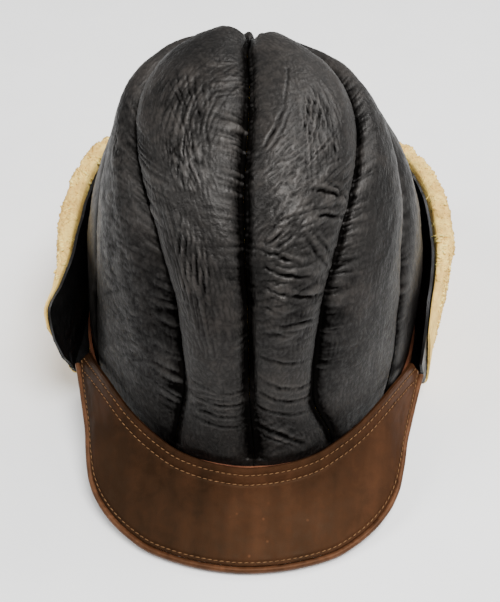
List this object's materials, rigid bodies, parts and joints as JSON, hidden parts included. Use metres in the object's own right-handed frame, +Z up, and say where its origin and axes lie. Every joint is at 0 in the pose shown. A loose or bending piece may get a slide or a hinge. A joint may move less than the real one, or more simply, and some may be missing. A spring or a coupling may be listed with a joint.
{
  "type": "sheepskin flying cap",
  "caption": "Leather cap with a crown of puffed gores, a fleece lining, a stitched peak and a turned-up fleece ear and neck flap.",
  "frame": {"origin": "middle of the cap's box in plan, on the flat surface that it rests on", "axes": "+Z up, -Y towards the front, where the peak is, +X towards the wearer's left, the right of the picture"},
  "size_m": [0.2232, 0.2872, 0.1888],
  "materials": {
    "crown_leather": "supple dark brown to black leather with a satin sheen",
    "brown_leather": "smooth oiled brown leather",
    "edge_leather": "rolled brown leather edge",
    "dark_leather": "near black smooth leather",
    "fleece": "cream and golden sheep's wool in short locks"
  },
  "bodies": {
    "root": {"gore_back_left": "crown_leather", "gore_rear_left": "crown_leather", "gore_side_left": "crown_leather", "gore_front_left": "crown_leather", "gore_front_right": "crown_leather", "gore_side_right": "crown_leather", "gore_rear_right": "crown_leather", "gore_back_right": "crown_leather", "crown_fleece": "fleece", "headband": "brown_leather", "peak_top": "brown_leather", "peak_under": "brown_leather", "peak_binding": "edge_leather", "flap_leather": "dark_leather", "flap_fleece": "fleece"}
  },
  "joints": []
}
